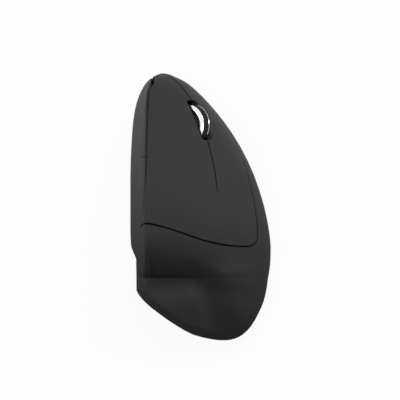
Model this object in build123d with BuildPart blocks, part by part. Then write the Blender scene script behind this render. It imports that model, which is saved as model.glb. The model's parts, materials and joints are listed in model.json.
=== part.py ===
"""Right-handed vertical mouse: moulded casing, sprung keys, wheel mechanism and the boards inside.

X runs to the right of the hand, Y to the nose, Z up.
The origin lies on the desk under the middle of the outline.
"""

import math
import os

from build123d import *

# Driving sizes of the whole mouse
body_length = 120.0
body_width = 63.2
crest_height = 70.0
wall = 2.0
seam_gap = 0.5
crest_gap = 0.95
key_gap = 0.6
face_tilt = 46.5
overrun = 40.0

# Base, feet and door
foot_height = 0.6
floor_thickness = 2.2
joint_gap = 0.3
door_gap = 0.25
door_thickness = 1.6
running_gap = 0.05

# Wheel
wheel_radius = 8.8
wheel_width = 5.2
rim_width = 0.6
rim_depth = 3.0
axle_radius = 1.1
press_travel = 0.5

# Bought-in parts
battery_radius = 7.15
battery_length = 49.0
battery_button_radius = 2.7
battery_button_length = 1.4
battery_corner = 0.6
board_thickness = 1.6
switch_length = 12.8
switch_width = 5.8
switch_height = 6.5
plunger_height = 0.8
screw_radius = 0.95
screw_head_radius = 1.9
screw_head_height = 1.1
receiver_width = 14.4
receiver_length = 18.6
receiver_height = 5.8

half_length = body_length / 2
half_width = body_width / 2
floor_bottom = foot_height
floor_top = floor_bottom + floor_thickness
shell_bottom = floor_top + joint_gap
cos_tilt = math.cos(math.radians(face_tilt))
sin_tilt = math.sin(math.radians(face_tilt))

# One row per station of the casing, nose to tail: along the length, crest, face and middle points, slope of
# the face in degrees, height of the shoulder, right and left edges, height of the widest line
station_share = [
    (1.0000, -0.554, 0.300, -0.541, 0.296, -0.527, 0.290, 30, 0.250, -0.500, -0.570, 0.171),
    (0.9955, -0.574, 0.361, -0.545, 0.352, -0.516, 0.339, 32, 0.286, -0.456, -0.600, 0.171),
    (0.9783, -0.633, 0.466, -0.576, 0.449, -0.487, 0.423, 36, 0.329, -0.377, -0.674, 0.171),
    (0.9417, -0.696, 0.560, -0.589, 0.531, -0.411, 0.477, 40, 0.379, -0.228, -0.759, 0.171),
    (0.8750, -0.747, 0.657, -0.582, 0.617, -0.316, 0.534, 41, 0.421, -0.066, -0.842, 0.171),
    (0.7750, -0.769, 0.757, -0.551, 0.706, -0.209, 0.594, 42, 0.457, 0.120, -0.915, 0.171),
    (0.6333, -0.775, 0.849, -0.494, 0.786, -0.076, 0.640, 43, 0.486, 0.342, -0.962, 0.171),
    (0.4500, -0.778, 0.926, -0.430, 0.854, 0.070, 0.671, 43, 0.507, 0.570, -0.987, 0.171),
    (0.2333, -0.778, 0.980, -0.373, 0.900, 0.209, 0.691, 43, 0.523, 0.766, -1.000, 0.171),
    (0.0000, -0.778, 1.000, -0.329, 0.920, 0.304, 0.691, 43, 0.529, 0.908, -1.000, 0.171),
    (-0.1833, -0.778, 0.985, -0.316, 0.904, 0.361, 0.677, 42, 0.523, 0.978, -1.000, 0.171),
    (-0.3000, -0.778, 0.943, -0.323, 0.863, 0.380, 0.654, 40, 0.514, 1.000, -0.990, 0.171),
    (-0.3917, -0.778, 0.854, -0.335, 0.791, 0.373, 0.629, 36, 0.500, 0.997, -0.975, 0.171),
    (-0.4533, -0.778, 0.715, -0.348, 0.682, 0.361, 0.595, 31, 0.486, 0.987, -0.962, 0.171),
    (-0.4933, -0.785, 0.560, -0.361, 0.555, 0.348, 0.566, 25, 0.474, 0.975, -0.950, 0.171),
    (-0.5167, -0.797, 0.458, -0.367, 0.470, 0.335, 0.546, 20, 0.466, 0.968, -0.944, 0.171),
    (-0.5333, -0.810, 0.426, -0.380, 0.438, 0.323, 0.536, 16, 0.457, 0.962, -0.940, 0.171),
    (-0.5600, -0.820, 0.414, -0.380, 0.426, 0.310, 0.523, 12, 0.446, 0.956, -0.935, 0.171),
    (-0.6250, -0.804, 0.386, -0.316, 0.397, 0.304, 0.477, 10, 0.423, 0.937, -0.915, 0.171),
    (-0.7083, -0.690, 0.351, -0.190, 0.363, 0.335, 0.429, 10, 0.389, 0.899, -0.804, 0.171),
    (-0.8000, -0.462, 0.314, -0.032, 0.329, 0.361, 0.371, 9, 0.346, 0.823, -0.595, 0.171),
    (-0.8917, -0.203, 0.277, 0.127, 0.291, 0.392, 0.309, 8, 0.297, 0.722, -0.342, 0.171),
    (-0.9600, 0.025, 0.234, 0.222, 0.246, 0.380, 0.251, 8, 0.243, 0.595, -0.101, 0.157),
    (-0.9900, 0.200, 0.200, 0.275, 0.206, 0.360, 0.206, 8, 0.200, 0.480, 0.120, 0.150),
    (-1.0000, 0.270, 0.180, 0.300, 0.184, 0.330, 0.183, 8, 0.178, 0.390, 0.240, 0.145),
]
stations_between = 2

# Sizes of the section's rounded parts
ledge_height = 9.0
crest_radius = 3.2
inner_crest_radius = 1.8
flank_tuck = 3.4
ledge_tuck = 1.4
least_wall_span = 4.0


def bezier_point(poles, t):
    """Point of a Bezier curve at t by repeated division of its poles."""
    while len(poles) > 1:
        poles = [
            ((1 - t) * a[0] + t * b[0], (1 - t) * a[1] + t * b[1])
            for a, b in zip(poles, poles[1:])
        ]
    return poles[0]


def unit(dx, dz):
    """Direction of length one along (dx, dz)."""
    size = math.hypot(dx, dz)
    return dx / size, dz / size


def eased(values, place):
    """Value at a fractional place in a list, by a cubic that never overshoots its entries."""
    steps = [b - a for a, b in zip(values, values[1:])]
    slopes = [steps[0]]
    for before, after in zip(steps, steps[1:]):
        flat = before * after <= 0
        slopes.append(0.0 if flat else 2 * before * after / (before + after))
    slopes.append(steps[-1])
    i = min(int(place), len(values) - 2)
    t = place - i
    return (
        values[i] * (2 * t**3 - 3 * t**2 + 1)
        + slopes[i] * (t**3 - 2 * t**2 + t)
        + values[i + 1] * (3 * t**2 - 2 * t**3)
        + slopes[i + 1] * (t**3 - t**2)
    )


def station(place):
    """Real sizes of the station at a fractional row of the table."""
    row = [eased(column, place) for column in zip(*station_share)]
    y, crest_x, crest_z, face_x, face_z, mid_x, mid_z, slope, shoulder_z, right, left, wide_z = row
    return (
        y * half_length,
        crest_x * half_width,
        crest_z * crest_height,
        face_x * half_width,
        face_z * crest_height,
        mid_x * half_width,
        mid_z * crest_height,
        math.radians(slope),
        shoulder_z * crest_height,
        right * half_width,
        left * half_width,
        wide_z * crest_height,
    )


def outline_points(place, inset, bottom):
    """Points round one section, left foot to right foot, drawn in by an inset."""
    y, crest_x, crest_z, face_x, face_z, mid_x, mid_z, slope, shoulder_z, right, left, wide_z = (
        station(place)
    )
    y += inset * max(-1.0, min(1.0, -2 * y / half_length))
    crest_x += 0.9 * inset
    crest_z -= 1.15 * inset
    face_z -= 1.15 * inset
    mid_x -= inset * math.sin(slope)
    mid_z -= inset * math.cos(slope)
    shoulder_z -= 0.3 * inset
    right -= inset
    left = min(left + inset, crest_x - 0.01 * half_width)
    span = right - left
    foot_right = right - min(flank_tuck, 0.2 * span)
    foot_left = left + min(ledge_tuck, 0.1 * span)
    rise = crest_z - ledge_height
    knee = (left + 0.22 * (crest_x - left), ledge_height + 0.3 * rise)
    down = unit(knee[0] - crest_x, knee[1] - crest_z)
    over = unit(face_x - crest_x, face_z - crest_z)
    radius = crest_radius if inset == 0 else inner_crest_radius
    radius = min(radius, 0.25 * rise, 0.35 * math.hypot(face_x - crest_x, face_z - crest_z))
    wall_top = (crest_x + radius * down[0], crest_z + radius * down[1])
    face_top = (crest_x + radius * over[0], crest_z + radius * over[1])
    reach_in = 0.42 * math.hypot(mid_x - face_x, mid_z - face_z)
    reach_out = 0.5 * math.hypot(right - mid_x, mid_z - shoulder_z)
    middle = (mid_x, mid_z)
    widest = (right, wide_z)
    before = (mid_x - reach_in * math.cos(slope), mid_z + reach_in * math.sin(slope))
    after = (mid_x + reach_out * math.cos(slope), mid_z - reach_out * math.sin(slope))
    shoulder = (right, max(shoulder_z, 1.12 * wide_z))
    curves = [
        ([(foot_left, bottom), (left, 0.45 * ledge_height), (left, ledge_height)], 2),
        ([(left, ledge_height), (left, ledge_height + 0.12 * rise), knee, wall_top], 5),
        ([wall_top, (crest_x, crest_z), face_top], 3),
        ([face_top, (face_x, face_z), before, middle], 5),
        ([middle, after, shoulder, widest], 5),
        ([widest, (right, 0.45 * wide_z + 0.4 * bottom), (foot_right, bottom)], 2),
    ]
    points = [bezier_point(poles, i / count) for poles, count in curves for i in range(count)]
    points.append((foot_right, bottom))
    return y, points


def spacing(points):
    """Shares of the way along a row of points, with short steps widened a little."""
    ways = [0.0]
    for a, b in zip(points, points[1:]):
        ways.append(ways[-1] + math.dist(a, b) ** 0.75)
    return [way / ways[-1] for way in ways]


widest_station = 9
outline_spacing = spacing(outline_points(widest_station, 0.0, 0.0)[1])


def casing_form(inset, bottom):
    """Solid form of the casing, drawn in by an inset and standing on a flat bottom."""
    count = (len(station_share) - 1) * stations_between
    sections = []
    for step in range(count + 1):
        place = step / stations_between
        right, left = station(place)[9:11]
        if inset > 0 and right - left < 2 * inset + least_wall_span:
            continue
        y, points = outline_points(place, inset, bottom)
        with BuildSketch(Plane.XZ.offset(-y)) as section:
            with BuildLine():
                add(
                    Edge.make_spline(
                        [Vector(*point) for point in points], parameters=outline_spacing
                    )
                )
                Line(points[-1], points[0])
            make_face()
        sections.append(section.sketch.face())
    with BuildPart() as form:
        loft(sections, ruled=True)
    return form.part


def face_plane(along, y, height):
    """Plane square to the key face: along runs down the slope, height out of it."""
    return Plane(
        origin=(
            along * cos_tilt + height * sin_tilt,
            y,
            height * cos_tilt - along * sin_tilt,
        ),
        x_dir=(cos_tilt, 0, -sin_tilt),
        z_dir=(sin_tilt, 0, cos_tilt),
    )


def finish(build, name):
    """Label one finished piece and write it."""
    build.part.label = name
    export_step(build.part, f"parts/{name}.step")


os.makedirs("parts", exist_ok=True)

outer = casing_form(0.0, 0.0)
inner = casing_form(wall, floor_bottom)

# Rear step of the thumb ledge, cut square down to the base
notch_share = [(-1.2, -0.262), (-1.0, -0.283), (-0.913, -0.388), (-0.913, -0.640), (-1.2, -0.640)]
with BuildPart() as ledge_notch:
    with BuildSketch() as notch_outline:
        with BuildLine():
            Polyline(
                [(x * half_width, y * half_length) for x, y in notch_share], close=True
            )
        make_face()
    extrude(amount=crest_height)

# Shallow scoop of the rear slope, which leaves a lip along the crest and a crisp front edge on the shelf
scoop_left = -0.706 * half_width
scoop_right = 0.475 * half_width
scoop_front = -0.133 * half_length
scoop_rear = -0.522 * half_length
scoop_turn = -1.3
with BuildPart() as scoop:
    with Locations(((scoop_left + scoop_right) / 2, (scoop_front + scoop_rear) / 2, 0)):
        Box(
            scoop_right - scoop_left,
            scoop_front - scoop_rear,
            crest_height + overrun,
            align=(Align.CENTER, Align.CENTER, Align.MIN),
        )
    add(
        Pos(scoop_right, scoop_rear, 0) * Rot(0, 0, scoop_turn) * Pos(-scoop_right, -scoop_rear, 0) * outer,
        mode=Mode.SUBTRACT,
    )

with BuildPart() as casing:
    add(outer)
    add(ledge_notch.part, mode=Mode.SUBTRACT)
    add(scoop.part, mode=Mode.SUBTRACT)

with BuildPart() as shell:
    add(casing.part)
    add(inner, mode=Mode.SUBTRACT)
    with Locations((0, 0, shell_bottom)):
        Box(
            body_width + overrun,
            body_length + overrun,
            overrun,
            align=(Align.CENTER, Align.CENTER, Align.MAX),
            mode=Mode.SUBTRACT,
        )

clearance = casing_form(wall + 0.8, floor_top)
half_wall = casing_form(0.5 * wall, floor_bottom)

# Side outline of the thumb cover as shares of half the length and the crest height
thumb_top_share = [
    (1.030, 0.190),
    (0.978, 0.496),
    (0.942, 0.572),
    (0.875, 0.651),
    (0.775, 0.743),
    (0.633, 0.833),
    (0.450, 0.908),
    (0.250, 0.952),
    (0.133, 0.945),
    (-0.127, 0.771),
    (-0.410, 0.600),
]
thumb_rear_share = [(-0.292, 0.129), (-0.292, -0.05)]
thumb_depth = 0.10 * half_width
thumb_plane_x = -0.778 * half_width
thumb_fall = 0.8


def shifted(points, growth):
    """Row of points moved by a gap to the right of its way, with mitred corners."""
    ways = [unit(b[0] - a[0], b[1] - a[1]) for a, b in zip(points, points[1:])]
    ways = [ways[0], *ways, ways[-1]]
    moved = []
    for (x, y), (ax, ay), (bx, by) in zip(points, ways, ways[1:]):
        size = growth / (1 + ax * bx + ay * by)
        moved.append((x + size * (ay + by), y - size * (ax + bx)))
    return moved


def thumb_zone(growth):
    """Space of the thumb cover, grown all round by a gap."""
    row = [(y * half_length, z * crest_height) for y, z in thumb_top_share + thumb_rear_share]
    row = shifted(row, growth)
    top = row[: len(thumb_top_share)]
    rear = row[len(thumb_top_share) :]
    with BuildPart() as zone:
        with BuildSketch(Plane.YZ.offset(thumb_plane_x)) as outline:
            with BuildLine():
                Spline(*top)
                Polyline(top[-1], *rear, (row[0][0], rear[-1][1]), top[0])
            make_face()
        extrude(outline.sketch, amount=overrun, dir=(-1, 0, thumb_fall))
        extrude(outline.sketch, amount=thumb_depth + 2 * growth, dir=(1, 0, -thumb_fall))
    return zone.part


# Outline of the key plate on the sloping face: along the slope as shares of the crest height, then along the
# length as shares of half of it
plate_share = [
    (-1.360, -0.105),
    (-0.936, -0.115),
    (-0.766, -0.165),
    (-0.540, -0.242),
    (-0.391, -0.273),
    (-0.207, -0.287),
    (-0.110, -0.287),
    (-0.110, -0.183),
    (-0.110, 0.300),
    (-0.121, 0.567),
    (-0.186, 0.833),
    (-0.343, 1.100),
]
plate_rear_count = 6


def on_face(shares):
    """Places on the sloping face from shares of the crest height and half the length."""
    return [(along * crest_height, y * half_length) for along, y in shares]


def plate_zone(growth):
    """Space of the whole key plate, grown all round by a gap, and by as much again at its foot."""
    row = shifted(on_face(plate_share), growth)
    rear = row[1:plate_rear_count]
    corner = row[plate_rear_count - 1 : plate_rear_count + 2]
    nose = row[plate_rear_count + 2 :]
    with BuildPart() as zone:
        with BuildSketch(face_plane(0, 0, 2 * (key_gap - growth))):
            with BuildLine():
                Line(row[0], rear[0])
                Spline(*rear)
                Bezier(*corner)
                Line(corner[-1], nose[0])
                Spline(*nose, tangents=[(0, 1), (-1, 1)])
                Polyline(nose[-1], (row[0][0], nose[-1][1]), row[0])
            make_face()
        extrude(amount=crest_height)
    return zone.part


thumb_space = thumb_zone(0.0)
thumb_clear = thumb_zone(seam_gap)
crest_clear = thumb_zone(crest_gap)
plate_space = plate_zone(0.0)
plate_clear = plate_zone(key_gap)

# The keys: one moulding that flexes at its root, cut from the nose to the root by the split
split_along = -0.433 * crest_height
root_y = 7.2
root_slit = 0.3
slot_width = 6.8
slot_length = 18.0
slot_y = 38.8
slot_corner = 1.8
wheel_y = 36.7
wheel_height = 23.6


def box_on_face(along, y, height, size_along, size_y, size_height):
    """Block standing on the sloping face's frame, centred along and across."""
    with BuildPart() as block:
        with BuildSketch(face_plane(along, y, height)):
            Rectangle(size_along, size_y)
        extrude(amount=size_height)
    return block.part


def rod_on_face(along, y, height, radius, size_height):
    """Round post standing on the sloping face's frame."""
    with BuildPart() as rod:
        with BuildSketch(face_plane(along, y, height)):
            Circle(radius)
        extrude(amount=size_height)
    return rod.part


def boss_to_shell(post):
    """The part of a post that lies inside the casing, as far as the middle of its wall."""
    with BuildPart() as boss:
        add(post)
        add(half_wall, mode=Mode.INTERSECT)
    return boss.part


with BuildPart() as key_plate:
    add(shell.part)
    add(crest_clear, mode=Mode.SUBTRACT)
    add(plate_space, mode=Mode.INTERSECT)

with BuildPart() as wheel_slot:
    with BuildSketch(face_plane(split_along, slot_y, 0)):
        RectangleRounded(slot_width, slot_length, slot_corner)
    extrude(amount=crest_height)

# Switches stand on the slanted board under the keys
board_top = 12.0
board_outline_share = [
    (-0.645, 0.235),
    (-0.645, 0.750),
    (-0.230, 0.750),
    (-0.185, 0.640),
    (-0.185, 0.235),
]
switch_places = {
    "left": (-0.593 * crest_height, 0.517 * half_length),
    "right": (-0.237 * crest_height, 0.450 * half_length),
}
plunger_shift = 2.0
plunger_radius = 0.9
plunger_sunk = 1.5
post_radius = 1.8
key_span = 2 * crest_height


def key(side, name):
    """One key: its half of the plate, with the post that meets its switch."""
    sign = -1 if side == "left" else 1
    along, y = switch_places[side]
    top_of_plunger = board_top + switch_height + plunger_height
    with BuildPart() as piece:
        add(key_plate.part)
        add(
            box_on_face(
                split_along + sign * (key_gap + key_span) / 2,
                root_y + key_span / 2,
                0,
                key_span,
                key_span,
                key_span,
            ),
            mode=Mode.INTERSECT,
        )
        add(wheel_slot.part, mode=Mode.SUBTRACT)
        add(
            boss_to_shell(
                rod_on_face(
                    along,
                    y + plunger_shift,
                    top_of_plunger + running_gap,
                    post_radius,
                    crest_height,
                )
            )
        )
    finish(piece, name)
    return piece.part


key("left", "left_key")
key("right", "right_key")

with BuildPart() as key_bridge:
    add(key_plate.part)
    add(
        box_on_face(0, root_y - root_slit - key_span / 2, 0, 2 * key_span, key_span, key_span),
        mode=Mode.INTERSECT,
    )
finish(key_bridge, "key_bridge")

# Thumb buttons lie along the top edge of the thumb cover
button_depth = 11.0
button_edges_share = [0.567, 0.372, 0.133]
button_gap = 0.3
button_travel = 0.4
tact_height = 2.0
tact_size = 4.6
thumb_board_x = -0.620 * half_width
thumb_board_thickness = 1.2
tact_places = [(0.470 * half_length, 0.785 * crest_height), (0.250 * half_length, 0.838 * crest_height)]
button_post_radius = 1.2
thumb_plunger_height = 0.5
thumb_plunger_radius = 0.8


def button_space(index, growth):
    """Space of one thumb button: a strip under the cover's top edge between two places along it."""
    front = button_edges_share[index] * half_length - button_gap / 2
    back = button_edges_share[index + 1] * half_length + button_gap / 2
    with BuildPart() as strip:
        add(thumb_zone(0.0))
        add(Pos(0, 0, -button_depth) * thumb_zone(0.0), mode=Mode.SUBTRACT)
        with Locations((0, (front + back) / 2, crest_height / 2)):
            Box(2 * overrun + body_width, front - back, 2 * crest_height, mode=Mode.INTERSECT)
    if growth == 0:
        return strip.part
    with BuildPart() as grown:
        add(thumb_zone(growth))
        add(Pos(0, 0, -button_depth - 2 * growth) * thumb_zone(growth), mode=Mode.SUBTRACT)
        with Locations((0, (front + back) / 2, crest_height / 2)):
            Box(
                2 * overrun + body_width,
                front - back + 2 * growth,
                2 * crest_height,
                mode=Mode.INTERSECT,
            )
    return grown.part


with BuildPart() as thumb_shell:
    add(shell.part)
    add(thumb_space, mode=Mode.INTERSECT)

plunger_tip_x = thumb_board_x - tact_height - thumb_plunger_height


def rod_along_x(x_from, x_to, y, z, radius):
    """Round rod along X between two places."""
    with BuildPart() as rod:
        with BuildSketch(Plane.YZ.offset(x_from)):
            with Locations((y, z)):
                Circle(radius)
        extrude(amount=x_to - x_from)
    return rod.part


def thumb_button(index, name):
    """One thumb button: a strip of the cover with the post that meets its switch."""
    y, z = tact_places[index]
    with BuildPart() as piece:
        add(thumb_shell.part)
        add(button_space(index, 0.0), mode=Mode.INTERSECT)
        add(
            boss_to_shell(
                rod_along_x(
                    -half_width - overrun, plunger_tip_x - running_gap, y, z, button_post_radius
                )
            )
        )
    finish(piece, name)
    return piece.part


thumb_button(0, "forward_button")
thumb_button(1, "back_button")

# Places of the screws that hold the casing to the base
screw_places_share = [(0.617, -0.600), (-0.253, -0.767), (0.329, 0.450), (-0.815, 0.433), (-0.855, -0.233)]
boss_radius = 2.6
boss_height = 11.0
screw_reach = 7.0
screw_places = [(x * half_width, y * half_length) for x, y in screw_places_share]
thumb_boss_x = thumb_board_x
board_boss_share = [(0.608, 0.671), (0.103, 0.764)]
board_boss_radius = 1.9
board_screw_radius = 0.8
board_screw_head = 1.6
board_screw_head_height = 0.9


def screw_boss(x, y):
    """Boss under the casing with a bore for one screw, tied to the wall beside it."""
    side = 1 if x > 0 else -1
    with BuildPart() as boss:
        with BuildSketch(Plane.XY.offset(shell_bottom)):
            with Locations((x, y)):
                Circle(boss_radius)
            with Locations((x + side * boss_radius * 2, y)):
                Rectangle(4 * boss_radius, wall)
        extrude(amount=boss_height)
        add(half_wall, mode=Mode.INTERSECT)
        with Locations((x, y, shell_bottom + screw_reach / 2)):
            Cylinder(screw_radius + running_gap, screw_reach, mode=Mode.SUBTRACT)
    return boss.part


with BuildPart() as thumb_cover:
    add(thumb_shell.part)
    for index in range(2):
        add(button_space(index, button_gap), mode=Mode.SUBTRACT)
    for x, y in screw_places[3:]:
        add(screw_boss(x, y))
    for y_share, z_share in board_boss_share:
        add(
            boss_to_shell(
                rod_along_x(
                    -half_width - overrun,
                    thumb_boss_x,
                    y_share * half_length,
                    z_share * crest_height,
                    board_boss_radius,
                )
            )
        )
        add(
            rod_along_x(
                thumb_boss_x - 4 * board_screw_head,
                thumb_boss_x,
                y_share * half_length,
                z_share * crest_height,
                board_screw_radius + running_gap,
            ),
            mode=Mode.SUBTRACT,
        )
finish(thumb_cover, "thumb_cover")

with BuildPart() as palm_shell:
    add(shell.part)
    add(thumb_clear, mode=Mode.SUBTRACT)
    add(plate_clear, mode=Mode.SUBTRACT)
    for x, y in screw_places[:3]:
        add(screw_boss(x, y))
finish(palm_shell, "palm_shell")


# Base plate with the battery bay, the receiver recess and the seats of the boards
bay_left = -22.4
bay_width = 15.2
bay_rear = -37.0
bay_length = 52.8
bay_wall = 1.4
bay_height = 14.0
receiver_x = 2.9
receiver_y = -20.4
receiver_gap = 0.3
recess_wall = 1.2
board_seat = 5.0
seat_radius = 1.8
lens_x = -4.0
lens_y = 30.0
lens_length = 8.0
lens_width = 6.0
lens_flange_share = 1.5
lens_clearance = 0.2
lens_corner = 0.6
slider_x = 16.6
slider_y = -14.0
slider_travel = 1.5
slider_length = 5.0
slider_width = 3.0
slider_flange = 0.8
slider_rim = 1.0
slider_play = 0.4
grip_width = 0.4
grip_depth = 0.3
underside_recess = 0.2
pairing_x = 17.4
pairing_y = 4.0
pairing_radius = 1.9
seat_places = [(-17.0, 22.5), (-17.0, 38.5), (17.0, -21.5), (17.5, 9.5)]

bay_right = bay_left + bay_width
bay_front = bay_rear + bay_length
bay_x = (bay_left + bay_right) / 2
bay_y = (bay_rear + bay_front) / 2
main_board_top = board_seat + board_thickness
barrel_radius = door_thickness / 2
door_bottom = floor_bottom + (floor_thickness - door_thickness) / 2
hinge_z = door_bottom + barrel_radius
hinge_y = bay_rear + door_gap + barrel_radius
pin_radius = 0.5
pin_length = 0.8
latch_width = 6.0
latch_length = 1.2


def slab(x, y, z, size_x, size_y, size_z):
    """Block standing at a height, centred in plan."""
    with BuildPart() as block:
        with BuildSketch(Plane.XY.offset(z)):
            with Locations((x, y)):
                Rectangle(size_x, size_y)
        extrude(amount=size_z)
    return block.part


def rod(x, y, z, radius, height):
    """Round post standing at a height."""
    with BuildPart() as post:
        with BuildSketch(Plane.XY.offset(z)):
            with Locations((x, y)):
                Circle(radius)
        extrude(amount=height)
    return post.part


def frame_wall(x, y, z, size_x, size_y, thickness, height):
    """Upright wall round a rectangle."""
    with BuildPart() as walls:
        with BuildSketch(Plane.XY.offset(z)):
            with Locations((x, y)):
                Rectangle(size_x + 2 * thickness, size_y + 2 * thickness)
                Rectangle(size_x, size_y, mode=Mode.SUBTRACT)
        extrude(amount=height)
    return walls.part


recess_width = receiver_width + 2 * receiver_gap
recess_length = receiver_length + 2 * receiver_gap
recess_top = floor_bottom + joint_gap + receiver_height + receiver_gap

with BuildPart() as base_plate:
    add(casing.part)
    add(slab(0, 0, floor_bottom, 2 * body_width, 2 * body_length, floor_thickness), mode=Mode.INTERSECT)
    add(frame_wall(bay_x, bay_y, floor_bottom, bay_width, bay_length, bay_wall, bay_height))
    add(
        frame_wall(
            receiver_x,
            receiver_y,
            floor_bottom,
            recess_width,
            recess_length,
            recess_wall,
            recess_top - floor_bottom,
        )
    )
    add(
        slab(
            receiver_x,
            receiver_y,
            recess_top,
            recess_width + 2 * recess_wall,
            recess_length + 2 * recess_wall,
            recess_wall,
        )
    )
    for x, y in seat_places:
        add(rod(x, y, floor_top, seat_radius, board_seat - floor_top))
    add(slab(bay_x, bay_y, 0, bay_width, bay_length, floor_top), mode=Mode.SUBTRACT)
    add(slab(receiver_x, receiver_y, 0, recess_width, recess_length, recess_top), mode=Mode.SUBTRACT)
    add(slab(lens_x, lens_y, 0, lens_length, lens_width, floor_top), mode=Mode.SUBTRACT)
    add(
        slab(
            slider_x,
            slider_y,
            0,
            slider_width + slider_play,
            slider_length + 2 * slider_travel + slider_play,
            floor_top,
        ),
        mode=Mode.SUBTRACT,
    )
    add(rod(pairing_x, pairing_y, 0, pairing_radius + 2 * running_gap, floor_top), mode=Mode.SUBTRACT)
    for x, y in screw_places:
        add(rod(x, y, 0, screw_radius + 2 * running_gap, floor_top), mode=Mode.SUBTRACT)
        head_space = rod(x, y, 0, screw_head_radius + running_gap, floor_bottom + screw_head_height)
        add(head_space, mode=Mode.SUBTRACT)
    for x in (bay_left, bay_right):
        with Locations(Location((x, hinge_y, hinge_z), (0, 90, 0))):
            Cylinder(pin_radius + running_gap, 2 * (pin_length + running_gap), mode=Mode.SUBTRACT)
finish(base_plate, "base_plate")

door_width = bay_width - 2 * door_gap
door_length = bay_front - door_gap - hinge_y
with BuildPart() as battery_door:
    add(slab(bay_x, hinge_y + door_length / 2, door_bottom, door_width, door_length, door_thickness))
    with Locations(Location((bay_x, hinge_y, hinge_z), (0, 90, 0))):
        Cylinder(barrel_radius, door_width)
        Cylinder(pin_radius, bay_width + 2 * pin_length - 2 * door_gap)
    with BuildSketch(Plane.XY.offset(door_bottom)):
        with Locations((bay_x, bay_front - 3 * latch_length)):
            SlotOverall(latch_width, latch_length)
    extrude(amount=door_thickness / 2, mode=Mode.SUBTRACT)
finish(battery_door, "battery_door")

# Low-friction feet on the underside, one node of four pads
foot_shares = [
    (-0.430, 0.800, 19.0, 5.0, -18),
    (0.060, -0.815, 22.0, 5.0, -28),
    (0.790, -0.100, 18.0, 4.0, 90),
    (-0.880, 0.080, 18.0, 3.6, 90),
]
with BuildPart() as glide_feet:
    for x, y, length, width, turn in foot_shares:
        with BuildSketch():
            with Locations(Location((x * half_width, y * half_length), turn)):
                SlotOverall(length, width)
        extrude(amount=foot_height)
finish(glide_feet, "glide_feet")

# Case screws: pan heads under the floor, shanks in the bosses
with BuildPart() as case_screws:
    for x, y in screw_places:
        add(rod(x, y, floor_bottom, screw_head_radius, screw_head_height - running_gap))
        add(
            rod(
                x,
                y,
                floor_bottom + screw_head_height - running_gap,
                screw_radius,
                shell_bottom + screw_reach - running_gap - floor_bottom - screw_head_height,
            )
        )
finish(case_screws, "case_screws")

# Battery and its contacts
battery_z = floor_top + joint_gap + battery_radius
contact_thickness = 0.4
can_rear = bay_front - contact_thickness - running_gap - battery_button_length - battery_length
with BuildPart() as battery_cell:
    with BuildSketch(Plane.XZ.offset(-can_rear)):
        with Locations((bay_x, battery_z)):
            Circle(battery_radius)
    extrude(amount=-battery_length)
    fillet(battery_cell.edges().filter_by(GeomType.CIRCLE), battery_corner)
    with BuildSketch(Plane.XZ.offset(-can_rear - battery_length)):
        with Locations((bay_x, battery_z)):
            Circle(battery_button_radius)
    extrude(amount=-battery_button_length)
finish(battery_cell, "battery_cell")

contact_width = 9.0
contact_height = 9.0
with BuildPart() as positive_contact:
    add(
        slab(
            bay_x,
            bay_front - contact_thickness / 2,
            battery_z - contact_height / 2,
            contact_width,
            contact_thickness,
            contact_height,
        )
    )
finish(positive_contact, "positive_contact")

spring_foot = 0.2
spring_reach = 1.7
spring_bend = 0.4
spring_wire = 0.2
with BuildPart() as negative_contact:
    with BuildSketch(Plane.YZ.offset(bay_x - contact_width / 2)):
        with BuildLine():
            FilletPolyline(
                (bay_rear + spring_foot, battery_z - contact_height / 2),
                (bay_rear + spring_foot, battery_z + contact_height / 2),
                (bay_rear + spring_reach, battery_z + contact_height / 4),
                (bay_rear + (spring_foot + spring_reach) / 2, battery_z - contact_height / 3),
                radius=spring_bend,
            )
        trace(line_width=spring_wire)
    extrude(amount=contact_width)
finish(negative_contact, "negative_contact")

# Radio receiver parked in its recess
cap_length = 0.38 * receiver_length
receiver_base = floor_bottom + joint_gap
receiver_front = receiver_y + receiver_length / 2
receiver_corner = 1.2
plug_width = 12.0
plug_height = 4.5
with BuildPart() as usb_receiver:
    add(
        slab(
            receiver_x,
            receiver_front - cap_length / 2,
            receiver_base,
            receiver_width,
            cap_length,
            receiver_height,
        )
    )
    fillet(usb_receiver.edges().filter_by(Axis.Z), receiver_corner)
    add(
        slab(
            receiver_x,
            receiver_y - cap_length / 2,
            receiver_base + (receiver_height - plug_height) / 2,
            plug_width,
            receiver_length - cap_length,
            plug_height,
        )
    )
finish(usb_receiver, "usb_receiver")

# Main board on its seats, with the sensor, its lens and the radio chip
main_board_share = [
    (-0.633, 0.333),
    (-0.633, 0.680),
    (-0.050, 0.680),
    (0.250, 0.350),
    (0.633, 0.200),
    (0.680, -0.420),
    (0.427, -0.420),
    (0.427, 0.060),
    (0.250, 0.333),
]
with BuildPart() as main_board:
    with BuildSketch(Plane.XY.offset(board_seat)):
        with BuildLine():
            Polyline([(x * half_width, y * half_length) for x, y in main_board_share], close=True)
        make_face()
        with Locations((lens_x, lens_y)):
            Circle(lens_width / 2, mode=Mode.SUBTRACT)
    extrude(amount=board_thickness)
finish(main_board, "main_board")

with BuildPart() as sensor_lens:
    add(
        slab(
            lens_x,
            lens_y,
            floor_bottom + 2 * lens_clearance,
            lens_length - 2 * lens_clearance,
            lens_width - 2 * lens_clearance,
            floor_thickness,
        )
    )
    add(
        slab(
            lens_x,
            lens_y,
            floor_top + lens_clearance / 2,
            lens_flange_share * lens_length,
            lens_flange_share * lens_width,
            board_seat - floor_top - lens_clearance / 2,
        )
    )
    fillet(sensor_lens.edges().filter_by(Axis.Z), lens_corner)
finish(sensor_lens, "sensor_lens")

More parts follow.
